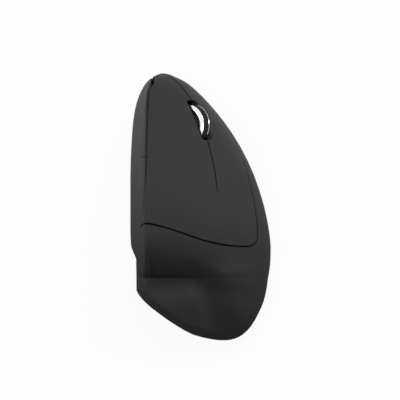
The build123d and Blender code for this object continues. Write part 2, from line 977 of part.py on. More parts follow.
# Places and sizes of the chips on the main board
chip_bevel = 0.3
chips = {
    "sensor_chip": (lens_x, lens_y, 9.0, 7.6, 2.4),
    "radio_chip": (-13.5, 30.5, 6.0, 6.0, 1.0),
    "cable_socket": (-3.0, 37.4, 3.0, 6.0, 2.0),
}
for name, (x, y, size_x, size_y, size_z) in chips.items():
    with BuildPart() as chip:
        add(slab(x, y, main_board_top, size_x, size_y, size_z))
        chamfer(chip.faces().sort_by(Axis.Z)[-1].edges(), chip_bevel)
    finish(chip, name)

# Power slider and pairing button in the floor
with BuildPart() as power_slider:
    add(
        slab(
            slider_x,
            slider_y + slider_travel,
            floor_bottom + underside_recess,
            slider_width,
            slider_length,
            floor_thickness,
        )
    )
    add(
        slab(
            slider_x,
            slider_y + slider_travel,
            floor_top + running_gap,
            slider_width + 2 * slider_rim,
            slider_length + 2 * slider_rim,
            slider_flange,
        )
    )
    for place in (-1, 0, 1):
        add(
            slab(
                slider_x,
                slider_y + slider_travel + place,
                floor_bottom,
                slider_width,
                grip_width,
                grip_depth,
            ),
            mode=Mode.SUBTRACT,
        )
finish(power_slider, "power_slider")

power_switch_height = 1.9
power_switch_width = 3.4
power_switch_gap = 1.4
with BuildPart() as power_switch:
    add(
        slab(
            slider_x + slider_width + power_switch_gap,
            slider_y,
            board_seat - power_switch_height,
            power_switch_width,
            2 * slider_length,
            power_switch_height,
        )
    )
finish(power_switch, "power_switch")

pairing_flange = 0.6
pairing_flange_share = 1.4
tact_low = 0.7
tact_side = 3.6
with BuildPart() as pairing_button:
    add(rod(pairing_x, pairing_y, floor_bottom + underside_recess, pairing_radius, floor_thickness))
    add(
        rod(
            pairing_x,
            pairing_y,
            floor_top + running_gap,
            pairing_flange_share * pairing_radius,
            pairing_flange,
        )
    )
finish(pairing_button, "pairing_button")

with BuildPart() as pairing_switch:
    add(slab(pairing_x, pairing_y, board_seat - tact_low, tact_side, tact_side, tact_low))
finish(pairing_switch, "pairing_switch")

# Stand that carries the slanted board
rib_thickness = 2.0
rib_places = [17.2, 43.0]
rib_right = -2.1
rib_left = -21.0
bar_x = -18.5
board_bottom = board_top - board_thickness


def board_line(x):
    """Height of the slanted board's underside over a place across the mouse."""
    return (board_bottom - x * sin_tilt) / cos_tilt


with BuildPart() as board_frame:
    for y, left in zip(rib_places, (bay_right + 2 * bay_wall, rib_left)):
        with BuildSketch(Plane.XZ.offset(-y + rib_thickness / 2)):
            with BuildLine():
                Polyline(
                    (left, floor_top),
                    (rib_right, floor_top),
                    (rib_right, board_line(rib_right)),
                    (rib_left, board_line(rib_left)),
                    (left, bay_height + 2 * bay_wall),
                    close=True,
                )
            make_face()
        extrude(amount=-rib_thickness)
    bar_y = sum(rib_places) / 2
    bar_length = rib_places[1] - rib_places[0]
    with BuildSketch(Plane.XY.offset(main_board_top + 2 * rib_thickness)):
        with Locations((bar_x, bar_y)):
            Rectangle(rib_thickness, bar_length)
    extrude(amount=4 * rib_thickness)
finish(board_frame, "board_frame")

with BuildPart() as button_board:
    with BuildSketch(face_plane(0, 0, board_bottom)):
        with BuildLine():
            Polyline(on_face(board_outline_share), close=True)
        make_face()
    extrude(amount=board_thickness)
finish(button_board, "button_board")


def snap_switch(name, along, y):
    """Snap switch on the slanted board, with the well that its plunger runs in."""
    with BuildPart() as body:
        add(box_on_face(along, y, board_top, switch_width, switch_length, switch_height))
        add(
            rod_on_face(
                along,
                y + plunger_shift,
                board_top + switch_height - plunger_sunk,
                plunger_radius + running_gap,
                plunger_sunk,
            ),
            mode=Mode.SUBTRACT,
        )
    finish(body, name + "_switch")
    with BuildPart() as plunger:
        add(
            rod_on_face(
                along,
                y + plunger_shift,
                board_top + switch_height - plunger_sunk + press_travel + running_gap,
                plunger_radius,
                plunger_sunk + plunger_height - press_travel - running_gap,
            )
        )
    finish(plunger, name + "_plunger")


for name, (along, y) in switch_places.items():
    snap_switch(name, along, y)

# Wheel carriage: a ring round the wheel, two cheeks for the axle and a tongue over the middle switch
middle_y = 18.6
middle_height = 3.5
middle_size = 6.0
tongue_height = board_top + middle_height + plunger_height + running_gap
ring_thickness = 1.6
ring_half = 5.0
rail_width = 1.4
ring_rear = 27.4
ring_front = 46.0
cheek_length = 6.4
cheek_top = wheel_height + 1.6
ring_y = (ring_rear + ring_front) / 2

axle_place = Location(face_plane(split_along, wheel_y, wheel_height))
axle_across = axle_place * Location((0, 0, 0), (0, 90, 0))
with BuildPart() as wheel_carriage:
    ring_length = ring_front - ring_rear
    add(box_on_face(split_along, ring_y, tongue_height, 2 * ring_half, ring_length, ring_thickness))
    add(
        box_on_face(
            split_along,
            ring_y,
            tongue_height,
            2 * (ring_half - rail_width),
            ring_front - ring_rear - 2 * rail_width,
            ring_thickness,
        ),
        mode=Mode.SUBTRACT,
    )
    tongue_length = ring_rear - middle_y + 2 * plunger_radius
    add(
        box_on_face(
            split_along,
            ring_rear - tongue_length / 2,
            tongue_height,
            ring_half,
            tongue_length,
            ring_thickness,
        )
    )
    for side in (-1, 1):
        add(
            box_on_face(
                split_along + side * (ring_half - rail_width / 2),
                wheel_y,
                tongue_height,
                rail_width,
                cheek_length,
                cheek_top - tongue_height,
            )
        )
    with Locations(axle_across):
        Cylinder(axle_radius + running_gap, 4 * ring_half, mode=Mode.SUBTRACT)
    add(clearance, mode=Mode.INTERSECT)
finish(wheel_carriage, "wheel_carriage")

with BuildPart() as middle_switch:
    add(box_on_face(split_along, middle_y, board_top, middle_size, middle_size, middle_height))
    add(
        rod_on_face(
            split_along,
            middle_y,
            board_top + middle_height - plunger_sunk,
            plunger_radius + running_gap,
            plunger_sunk,
        ),
        mode=Mode.SUBTRACT,
    )
finish(middle_switch, "middle_switch")
with BuildPart() as middle_plunger:
    add(
        rod_on_face(
            split_along,
            middle_y,
            board_top + middle_height - plunger_sunk + press_travel + running_gap,
            plunger_radius,
            plunger_sunk + plunger_height - press_travel - running_gap,
        )
    )
finish(middle_plunger, "middle_plunger")

# Wheel: axle, hub, rubber tread and a bright rim on each side, turned about the axle
axle_plane = Plane(
    origin=face_plane(split_along, wheel_y, wheel_height).origin,
    x_dir=(0, 1, 0),
    z_dir=(cos_tilt, 0, -sin_tilt),
)
hub_radius = wheel_radius - rim_depth
tread_width = wheel_width - 2 * rim_width
tread_grooves = 36
groove_radius = 0.3


def turned(profile_from, profile_to, inner_radius, outer_radius, edge):
    """Ring turned about the axle between two places along it, with broken outer edges."""
    with BuildPart() as ring:
        with BuildSketch(axle_plane.offset(profile_from)):
            Circle(outer_radius)
            Circle(inner_radius, mode=Mode.SUBTRACT)
        extrude(amount=profile_to - profile_from)
        if edge > 0:
            rims = [e for e in ring.edges().filter_by(GeomType.CIRCLE) if abs(e.radius - outer_radius) < edge]
            chamfer(rims, edge)
    return ring.part


encoder_width = 3.0
axle_end = ring_half + encoder_width
with BuildPart() as wheel_axle:
    with BuildSketch(axle_plane.offset(-axle_end)):
        Circle(axle_radius)
    extrude(amount=axle_end + ring_half)
finish(wheel_axle, "wheel_axle")

hub_inset = 0.4
tread_inset = 0.1
tread_corner = 0.3
rim_corner = 0.3 * rim_width
with BuildPart() as wheel_hub:
    add(turned(-wheel_width / 2 + hub_inset, wheel_width / 2 - hub_inset, axle_radius, hub_radius, 0))
finish(wheel_hub, "wheel_hub")

with BuildPart() as wheel_tread:
    add(
        turned(
            -tread_width / 2,
            tread_width / 2,
            hub_radius,
            wheel_radius - tread_inset,
            tread_corner,
        )
    )
    with BuildSketch(axle_plane.offset(-tread_width)):
        with PolarLocations(wheel_radius, tread_grooves):
            Circle(groove_radius)
    extrude(amount=2 * tread_width, mode=Mode.SUBTRACT)
finish(wheel_tread, "wheel_tread")

for side, name in ((-1, "left_wheel_rim"), (1, "right_wheel_rim")):
    near, far = sorted((side * tread_width / 2, side * wheel_width / 2))
    with BuildPart() as wheel_rim:
        add(turned(near, far, hub_radius, wheel_radius, rim_corner))
    finish(wheel_rim, name)

encoder_drop = 2.6
encoder_length = 5.2
encoder_height = 4.2
with BuildPart() as encoder:
    add(
        box_on_face(
            split_along - ring_half - encoder_width / 2,
            wheel_y,
            wheel_height - encoder_drop,
            encoder_width,
            encoder_length,
            encoder_height,
        )
    )
    with Locations(axle_across):
        Cylinder(axle_radius + running_gap, 2 * (axle_end + wall), mode=Mode.SUBTRACT)
    add(clearance, mode=Mode.INTERSECT)
finish(encoder, "encoder")

# Thumb board, hung from the cover's two bosses
switch_cap_gap = 0.4
thumb_board_share = [
    (0.055, 0.735),
    (0.055, 0.880),
    (0.280, 0.872),
    (0.545, 0.790),
    (0.700, 0.705),
    (0.700, 0.640),
]
with BuildPart() as thumb_board:
    with BuildSketch(Plane.YZ.offset(thumb_boss_x)):
        with BuildLine():
            Polyline([(y * half_length, z * crest_height) for y, z in thumb_board_share], close=True)
        make_face()
        for y_share, z_share in board_boss_share:
            with Locations((y_share * half_length, z_share * crest_height)):
                Circle(board_screw_radius + running_gap, mode=Mode.SUBTRACT)
    extrude(amount=thumb_board_thickness)
finish(thumb_board, "thumb_board")

with BuildPart() as board_screws:
    for y_share, z_share in board_boss_share:
        y, z = y_share * half_length, z_share * crest_height
        face_x = thumb_boss_x + thumb_board_thickness
        add(rod_along_x(thumb_boss_x - 2 * board_screw_head, face_x, y, z, board_screw_radius))
        add(rod_along_x(face_x, face_x + board_screw_head_height, y, z, board_screw_head))
finish(board_screws, "board_screws")

for (y, z), name in zip(tact_places, ("forward", "back")):
    with BuildPart() as thumb_switch:
        with Locations((thumb_board_x - tact_height / 2, y, z)):
            Box(tact_height, tact_size, tact_size)
        add(
            rod_along_x(
                thumb_board_x - tact_height,
                thumb_board_x - switch_cap_gap,
                y,
                z,
                thumb_plunger_radius + running_gap,
            ),
            mode=Mode.SUBTRACT,
        )
    finish(thumb_switch, name + "_switch")
    with BuildPart() as thumb_plunger:
        add(
            rod_along_x(
                plunger_tip_x,
                thumb_board_x - switch_cap_gap - button_travel - running_gap,
                y,
                z,
                thumb_plunger_radius,
            )
        )
    finish(thumb_plunger, name + "_plunger")

# Flat cable from the slanted board down to the main board
cable_width = 5.0
cable_thickness = 0.3
cable_y = 37.0
cable_bend = 0.8
cable_run = [(-1.2, 18.95), (1.6, 19.6), (3.6, 15.0), (3.0, 7.6), (-1.3, 7.6)]
with BuildPart() as ribbon_cable:
    with BuildSketch(Plane.XZ.offset(-cable_y + cable_width / 2)):
        with BuildLine():
            FilletPolyline(*cable_run, radius=cable_bend)
        trace(line_width=cable_thickness)
    extrude(amount=-cable_width)
finish(ribbon_cable, "ribbon_cable")
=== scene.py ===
"""Vertical ergonomic mouse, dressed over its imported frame.

Every piece is in metres, in the frame of the solids: X to the right of the hand, Y to the nose, Z up.
"""

import json
import logging
import math
from dataclasses import dataclass
from enum import Enum

import bmesh
import bpy
from mathutils import Matrix, Vector
from mathutils.bvhtree import BVHTree

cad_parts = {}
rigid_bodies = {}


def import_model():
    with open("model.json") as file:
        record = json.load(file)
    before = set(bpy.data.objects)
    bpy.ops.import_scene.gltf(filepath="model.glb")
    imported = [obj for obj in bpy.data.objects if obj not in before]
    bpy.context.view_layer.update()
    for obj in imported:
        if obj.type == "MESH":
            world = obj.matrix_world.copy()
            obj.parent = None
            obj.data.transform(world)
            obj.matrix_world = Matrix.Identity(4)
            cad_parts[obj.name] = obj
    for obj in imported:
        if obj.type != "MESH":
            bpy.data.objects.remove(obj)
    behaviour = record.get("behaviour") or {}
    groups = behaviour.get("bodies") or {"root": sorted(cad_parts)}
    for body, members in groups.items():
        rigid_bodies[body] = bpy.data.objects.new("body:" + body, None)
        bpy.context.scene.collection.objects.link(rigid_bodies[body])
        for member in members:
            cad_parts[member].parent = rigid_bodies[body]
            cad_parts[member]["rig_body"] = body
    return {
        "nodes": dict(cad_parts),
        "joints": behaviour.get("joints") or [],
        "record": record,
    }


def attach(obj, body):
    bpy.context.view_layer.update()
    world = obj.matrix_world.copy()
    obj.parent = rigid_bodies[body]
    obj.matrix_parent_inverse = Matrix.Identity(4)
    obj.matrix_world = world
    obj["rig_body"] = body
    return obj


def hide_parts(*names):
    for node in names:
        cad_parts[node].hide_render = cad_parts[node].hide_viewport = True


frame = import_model()

LOG = logging.getLogger("mouse")
MM = 0.001

# Vertices nearer than this are one, and edges sharper than this, in degrees, stay sharp.
MERGE_REACH = 0.002 * MM
PLAIN_EDGE = 30.0

# The picture's side and its mouse's middle, in pixels, and the size of a pixel.
PICTURE_SIDE = 400
PICTURE_MIDDLE = (200.5, 207.0)
PICTURE_SCALE = 0.4478 * MM

# The colour sockets of a Mix node, which share their names with its other sockets.
MIX_LOW, MIX_HIGH, MIX_OUT = 6, 7, 2

Ramp = tuple[float, float]
Colour = tuple[float, float, float]


class Grain(Enum):
    """How the surface of a moulding is worked, as cells per metre and depth in metres."""

    SOFT_TOUCH = (5200.0, 0.006 * MM)
    SATIN = (3600.0, 0.010 * MM)
    MOULDED = (1500.0, 0.008 * MM)
    SLICK = (700.0, 0.002 * MM)


class NodeSheet:
    """A node tree that is filled one node at a time."""

    def __init__(self, tree: bpy.types.NodeTree) -> None:
        """Starts on an empty tree.

        Args:
            tree: The material's, the world's or the group's node tree.
        """
        self.tree = tree
        tree.nodes.clear()

    def add(self, kind: str, values: dict | None = None, **settings) -> bpy.types.Node:
        """Adds a node.

        Args:
            kind: The node's type name.
            values: Values for its inputs, by name or index.
            settings: Properties of the node.

        Returns:
            The new node.
        """
        node = self.tree.nodes.new(kind)
        for name, value in settings.items():
            setattr(node, name, value)
        for key, value in (values or {}).items():
            node.inputs[key].default_value = value
        return node

    def join(self, source: bpy.types.NodeSocket, target: bpy.types.NodeSocket) -> None:
        """Links an output to an input."""
        self.tree.links.new(source, target)


class GroupSheet(NodeSheet):
    """The nodes of a shader group that reads the place on the piece."""

    def __init__(self, name: str, takes: dict[str, str], gives: tuple[str, ...]) -> None:
        """Starts a group.

        Args:
            name: The group's name.
            takes: Its inputs' names and socket types.
            gives: Its outputs' names, all of them values.
        """
        super().__init__(bpy.data.node_groups.new(name, "ShaderNodeTree"))
        for label, kind in takes.items():
            self.tree.interface.new_socket(label, in_out="INPUT", socket_type=kind)
        for label in gives:
            self.tree.interface.new_socket(label, in_out="OUTPUT", socket_type="NodeSocketFloat")
        self.entry = self.add("NodeGroupInput")
        self.leave = self.add("NodeGroupOutput")
        self.place = self.add("ShaderNodeTexCoord").outputs["Object"]


class SurfaceGroups:
    """The shader groups that several finishes share, each built once."""

    coarse_share: float = 0.6
    fleck_band: Ramp = (0.4, 0.65)
    smudge_band: Ramp = (0.42, 0.68)

    def __init__(self) -> None:
        """Builds the three groups."""
        self.grain = self.build_grain()
        self.handling = self.build_handling()
        self.brushing = self.build_brushing()

    @staticmethod
    def band(sheet: NodeSheet, ends: Ramp) -> bpy.types.Node:
        """Adds a node that runs from zero to one between two values."""
        return sheet.add("ShaderNodeMapRange", {"From Min": ends[0], "From Max": ends[1]}, clamp=True)

    def build_grain(self) -> bpy.types.NodeTree:
        """Fine cast grain of a mould.

        Returns:
            A group with a height in metres and a fleck mask.
        """
        takes = {"Cells per metre": "NodeSocketFloat", "Depth": "NodeSocketFloat"}
        sheet = GroupSheet("mould_grain", takes, ("Height", "Fleck"))
        fine = sheet.add("ShaderNodeTexNoise", {"Detail": 2.0, "Roughness": 0.55})
        coarse = sheet.add("ShaderNodeTexVoronoi", {"Randomness": 1.0}, feature="SMOOTH_F1")
        mix = sheet.add("ShaderNodeMath", {1: self.coarse_share}, operation="MULTIPLY_ADD")
        deep = sheet.add("ShaderNodeMath", operation="MULTIPLY")
        fleck = self.band(sheet, self.fleck_band)
        for texture in (fine, coarse):
            sheet.join(sheet.place, texture.inputs["Vector"])
            sheet.join(sheet.entry.outputs["Cells per metre"], texture.inputs["Scale"])
        sheet.join(coarse.outputs["Distance"], mix.inputs[0])
        sheet.join(fine.outputs["Fac"], mix.inputs[2])
        sheet.join(mix.outputs[0], deep.inputs[0])
        sheet.join(sheet.entry.outputs["Depth"], deep.inputs[1])
        sheet.join(fine.outputs["Fac"], fleck.inputs["Value"])
        sheet.join(deep.outputs[0], sheet.leave.inputs["Height"])
        sheet.join(fleck.outputs["Result"], sheet.leave.inputs["Fleck"])
        return sheet.tree

    def build_handling(self) -> bpy.types.NodeTree:
        """Soft smudges that a hand leaves on a casing.

        Returns:
            A group with a smudge mask.
        """
        sheet = GroupSheet("handling_smudge", {"Patches per metre": "NodeSocketFloat"}, ("Smudge",))
        cloud = sheet.add("ShaderNodeTexNoise", {"Detail": 4.0, "Roughness": 0.6, "Distortion": 0.4})
        clear = self.band(sheet, self.smudge_band)
        sheet.join(sheet.place, cloud.inputs["Vector"])
        sheet.join(sheet.entry.outputs["Patches per metre"], cloud.inputs["Scale"])
        sheet.join(cloud.outputs["Fac"], clear.inputs["Value"])
        sheet.join(clear.outputs["Result"], sheet.leave.inputs["Smudge"])
        return sheet.tree

    @staticmethod
    def build_brushing() -> bpy.types.NodeTree:
        """Fine scratches drawn out along one direction, on metal.

        Returns:
            A group with a scratch mask.
        """
        sheet = GroupSheet("metal_brushing", {"Stretch": "NodeSocketVector"}, ("Scratch",))
        pull = sheet.add("ShaderNodeVectorMath", operation="MULTIPLY")
        lines = sheet.add("ShaderNodeTexNoise", {"Scale": 1.0, "Detail": 3.0, "Roughness": 0.7})
        sheet.join(sheet.place, pull.inputs[0])
        sheet.join(sheet.entry.outputs["Stretch"], pull.inputs[1])
        sheet.join(pull.outputs["Vector"], lines.inputs["Vector"])
        sheet.join(lines.outputs["Fac"], sheet.leave.inputs["Scratch"])
        return sheet.tree


class SurfaceSheet(NodeSheet):
    """The nodes of a material, round one Principled shader."""

    def __init__(self, name: str, values: dict) -> None:
        """Starts a material.

        Args:
            name: The material's name.
            values: Values for the shader's inputs.
        """
        self.material = bpy.data.materials.new(name)
        self.material.use_nodes = True
        super().__init__(self.material.node_tree)
        out = self.add("ShaderNodeOutputMaterial")
        self.shader = self.add("ShaderNodeBsdfPrincipled", values)
        self.join(self.shader.outputs["BSDF"], out.inputs["Surface"])

    def shade(self, mask: bpy.types.NodeSocket, low: Colour, high: Colour) -> None:
        """Runs the base colour between two tones.

        Args:
            mask: What decides between them.
            low: The tone where the mask is zero.
            high: The tone where the mask is one.
        """
        ends = {MIX_LOW: (*low, 1.0), MIX_HIGH: (*high, 1.0)}
        tone = self.add("ShaderNodeMix", ends, data_type="RGBA")
        self.join(mask, tone.inputs[0])
        self.join(tone.outputs[MIX_OUT], self.shader.inputs["Base Color"])

    def roughen(self, mask: bpy.types.NodeSocket, low: float, high: float) -> None:
        """Runs the roughness between two values.

        Args:
            mask: What decides between them.
            low: The roughness where the mask is zero.
            high: The roughness where the mask is one.
        """
        gloss = self.add("ShaderNodeMapRange", {"To Min": low, "To Max": high})
        self.join(mask, gloss.inputs["Value"])
        self.join(gloss.outputs["Result"], self.shader.inputs["Roughness"])

    def emboss(self, height: bpy.types.NodeSocket, strength: float = 1.0, depth: float = 1.0) -> None:
        """Bumps the surface.

        Args:
            height: The height map.
            strength: How much of the bump shows.
            depth: How many metres a height of one stands for.
        """
        bump = self.add("ShaderNodeBump", {"Strength": strength, "Distance": depth})
        self.join(height, bump.inputs["Height"])
        self.join(bump.outputs["Normal"], self.shader.inputs["Normal"])


@dataclass(frozen=True)
class MouldedPlastic:
    """A moulded plastic with cast grain and a little handling."""

    name: str
    colour: Colour
    roughness: float
    grain: Grain
    smudge: float = 0.06
    fleck: float = 0.12
    patches: float = 45.0
    reflectance: float = 0.4

    def make(self, groups: SurfaceGroups) -> bpy.types.Material:
        """Builds the material.

        Args:
            groups: The shared shader groups.

        Returns:
            The material.
        """
        sheet = SurfaceSheet(self.name, {"Specular IOR Level": self.reflectance})
        cells, depth = self.grain.value
        worked = {"Cells per metre": cells, "Depth": depth}
        grain = sheet.add("ShaderNodeGroup", worked, node_tree=groups.grain)
        hands = sheet.add("ShaderNodeGroup", {"Patches per metre": self.patches}, node_tree=groups.handling)
        dark = tuple(value * (1.0 - self.fleck) for value in self.colour)
        light = tuple(min(1.0, value * (1.0 + self.fleck)) for value in self.colour)
        sheet.shade(grain.outputs["Fleck"], dark, light)
        half = self.smudge / 2
        sheet.roughen(hands.outputs["Smudge"], self.roughness + half, self.roughness - half)
        sheet.emboss(grain.outputs["Height"])
        return sheet.material


@dataclass(frozen=True)
class BareMetal:
    """A metal with fine scratches in its gloss."""

    name: str
    colour: Colour
    roughness: float
    spread: float
    stretch: tuple[float, float, float]
    relief: float = 0.2
    scratch_depth: float = 0.01 * MM

    def make(self, groups: SurfaceGroups) -> bpy.types.Material:
        """Builds the material.

        Args:
            groups: The shared shader groups.

        Returns:
            The material.
        """
        sheet = SurfaceSheet(self.name, {"Base Color": (*self.colour, 1.0), "Metallic": 1.0})
        brushing = sheet.add("ShaderNodeGroup", {"Stretch": self.stretch}, node_tree=groups.brushing)
        scratch = brushing.outputs["Scratch"]
        sheet.roughen(scratch, self.roughness - self.spread, self.roughness + self.spread)
        sheet.emboss(scratch, self.relief, self.scratch_depth)
        return sheet.material


@dataclass(frozen=True)
class ClearPlastic:
    """A clear moulded lens."""

    name: str
    colour: Colour
    bending: float = 1.49
    patches: float = 300.0
    gloss: Ramp = (0.03, 0.12)

    def make(self, groups: SurfaceGroups) -> bpy.types.Material:
        """Builds the material.

        Args:
            groups: The shared shader groups.

        Returns:
            The material.
        """
        glass = {"Base Color": (*self.colour, 1.0), "Transmission Weight": 1.0, "IOR": self.bending}
        sheet = SurfaceSheet(self.name, glass)
        hands = sheet.add("ShaderNodeGroup", {"Patches per metre": self.patches}, node_tree=groups.handling)
        sheet.roughen(hands.outputs["Smudge"], *self.gloss)
        return sheet.material


@dataclass(frozen=True)
class CircuitBoard:
    """Solder mask over copper tracks."""

    name: str
    mask: Colour
    track: Colour
    pitch: float = 420.0
    track_share: float = 0.06
    lacquer: float = 0.3
    lacquer_roughness: float = 0.15
    patches: float = 120.0
    gloss: Ramp = (0.3, 0.42)
    relief: float = 0.5
    track_height: float = 0.03 * MM

    def make(self, groups: SurfaceGroups) -> bpy.types.Material:
        """Builds the material.

        Args:
            groups: The shared shader groups.

        Returns:
            The material.
        """
        lacquer = {"Coat Weight": self.lacquer, "Coat Roughness": self.lacquer_roughness}
        sheet = SurfaceSheet(self.name, lacquer)
        place = sheet.add("ShaderNodeTexCoord")
        black, white = (0.0, 0.0, 0.0, 1.0), (1.0, 1.0, 1.0, 1.0)
        lanes = sheet.add(
            "ShaderNodeTexBrick",
            {
                "Scale": self.pitch,
                "Color1": black,
                "Color2": black,
                "Mortar": white,
                "Mortar Size": self.track_share,
            },
        )
        hands = sheet.add("ShaderNodeGroup", {"Patches per metre": self.patches}, node_tree=groups.handling)
        sheet.join(place.outputs["Object"], lanes.inputs["Vector"])
        sheet.shade(lanes.outputs["Color"], self.mask, self.track)
        sheet.roughen(hands.outputs["Smudge"], *self.gloss)
        sheet.emboss(lanes.outputs["Fac"], self.relief, self.track_height)
        return sheet.material


class Finishes:
    """Every finish of the mouse, made once."""

    def __init__(self) -> None:
        """Makes the materials by the record's slot names."""
        groups = SurfaceGroups()
        soft = {"fleck": 0.08, "reflectance": 0.12}
        self.by_slot: dict[str, bpy.types.Material] = {
            made.name: made.make(groups)
            for made in (
                MouldedPlastic("soft_touch_black", (0.026, 0.0261, 0.0264), 0.6, Grain.SOFT_TOUCH, **soft),
                MouldedPlastic("base_black", (0.02, 0.02, 0.0205), 0.5, Grain.SATIN, reflectance=0.2),
                MouldedPlastic("inner_plastic", (0.05, 0.05, 0.053), 0.45, Grain.MOULDED),
                MouldedPlastic("white_plastic", (0.78, 0.77, 0.74), 0.32, Grain.SLICK, fleck=0.03),
                MouldedPlastic("red_plastic", (0.5, 0.035, 0.03), 0.34, Grain.SLICK, fleck=0.05),
                MouldedPlastic("tread_rubber", (0.016, 0.016, 0.0165), 0.75, Grain.SATIN, reflectance=0.12),
                MouldedPlastic("foot_plastic", (0.022, 0.022, 0.024), 0.25, Grain.SLICK, smudge=0.1),
                MouldedPlastic("chip_black", (0.02, 0.02, 0.022), 0.5, Grain.MOULDED),
                MouldedPlastic("battery_skin", (0.05, 0.11, 0.2), 0.3, Grain.SLICK, fleck=0.04),
                MouldedPlastic("cable_film", (0.62, 0.55, 0.42), 0.28, Grain.SLICK, fleck=0.04),
                BareMetal("bright_chrome", (0.86, 0.87, 0.88), 0.1, 0.03, (900.0, 900.0, 900.0)),
                BareMetal("steel", (0.56, 0.55, 0.53), 0.32, 0.1, (400.0, 4000.0, 4000.0)),
                ClearPlastic("clear_lens", (0.9, 0.93, 0.95)),
                CircuitBoard("circuit_board", (0.006, 0.075, 0.03), (0.02, 0.16, 0.07)),
            )
        }

    def dress(self, piece: bpy.types.Object, slot: str) -> None:
        """Gives a piece the finish of a slot.

        Args:
            piece: The piece or the carried-over node.
            slot: The record's slot.
        """
        piece.data.materials.clear()
        piece.data.materials.append(self.by_slot[slot])

    def fit(self, piece: bpy.types.Object, slot: str, body: str, node: str | None = None) -> bpy.types.Object:
        """Dresses a new piece and sets it on its body.

        Args:
            piece: The piece.
            slot: The record's slot.
            body: The body that it rides on.
            node: The node that it stands for, if it stands for one.

        Returns:
            The piece.
        """
        self.dress(piece, slot)
        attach(piece, body)
        if node is not None:
            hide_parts(node)
        return piece


def mesh_piece(build: bmesh.types.BMesh, name: str, smooth_angle: float = PLAIN_EDGE) -> bpy.types.Object:
    """Makes an object of a finished bmesh.

    Args:
        build: The mesh, which is freed.
        name: The piece's name.
        smooth_angle: Edges sharper than this, in degrees, stay sharp.

    Returns:
        The object, at the origin.
    """
    limit = math.radians(smooth_angle)
    for face in build.faces:
        face.smooth = True
    for edge in build.edges:
        if len(edge.link_faces) == 2:
            edge.smooth = edge.calc_face_angle(0.0) < limit
    mesh = bpy.data.meshes.new(name)
    build.to_mesh(mesh)
    build.free()
    piece = bpy.data.objects.new(name, mesh)
    bpy.context.scene.collection.objects.link(piece)
    return piece


def merged_copy(node: str) -> bmesh.types.BMesh:
    """The mesh of a node with its loose triangles merged.

    Args:
        node: The node's name.

    Returns:
        The merged mesh.
    """
    build = bmesh.new()
    build.from_mesh(frame["nodes"][node].data)
    bmesh.ops.remove_doubles(build, verts=build.verts, dist=MERGE_REACH)
    return build


def body_middles(node: str) -> list[Vector]:
    """Where a node's separate bodies stand, seen from above.

    Args:
        node: The node's name.

    Returns:
        The middle of each body, in the node's own order.
    """
    build = merged_copy(node)
    middles, seen = [], set()
    for vertex in build.verts:
        if vertex in seen:
            continue
        body, front = [], [vertex]
        seen.add(vertex)
        while front:
            here = front.pop()
            body.append(here.co)
            around = {edge.other_vert(here) for edge in here.link_edges} - seen
            seen |= around
            front += around
        low = Vector((min(spot.x for spot in body), min(spot.y for spot in body), 0.0))
        high = Vector((max(spot.x for spot in body), max(spot.y for spot in body), 0.0))
        middles.append((low + high) / 2)
    build.free()
    return middles


def drawn_out(
    build: bmesh.types.BMesh, loop: list[bmesh.types.BMEdge]
) -> tuple[list[bmesh.types.BMVert], list[bmesh.types.BMEdge]]:
    """Extrudes a closed loop of edges.

    Args:
        build: The mesh.
        loop: The loop's edges.

    Returns:
        The new loop's vertices and its edges.
    """
    grown = bmesh.ops.extrude_edge_only(build, edges=loop)["geom"]
    ring = [item for item in grown if isinstance(item, bmesh.types.BMVert)]
    edges = [item for item in grown if isinstance(item, bmesh.types.BMEdge)]
    return ring, [edge for edge in edges if edge.verts[0] in ring and edge.verts[1] in ring]


def clamped(share: float) -> float:
    """A share held between zero and one."""
    return min(1.0, max(0.0, share))


def eased(value: float, start: float, end: float) -> float:
    """A soft step from zero at the start to one at the end.

    Args:
        value: The value.
        start: Where the step begins.
        end: Where it ends, before or after the start.

    Returns:
        The step's height.
    """
    share = clamped((value - start) / (end - start))
    return share * share * (3.0 - 2.0 * share)


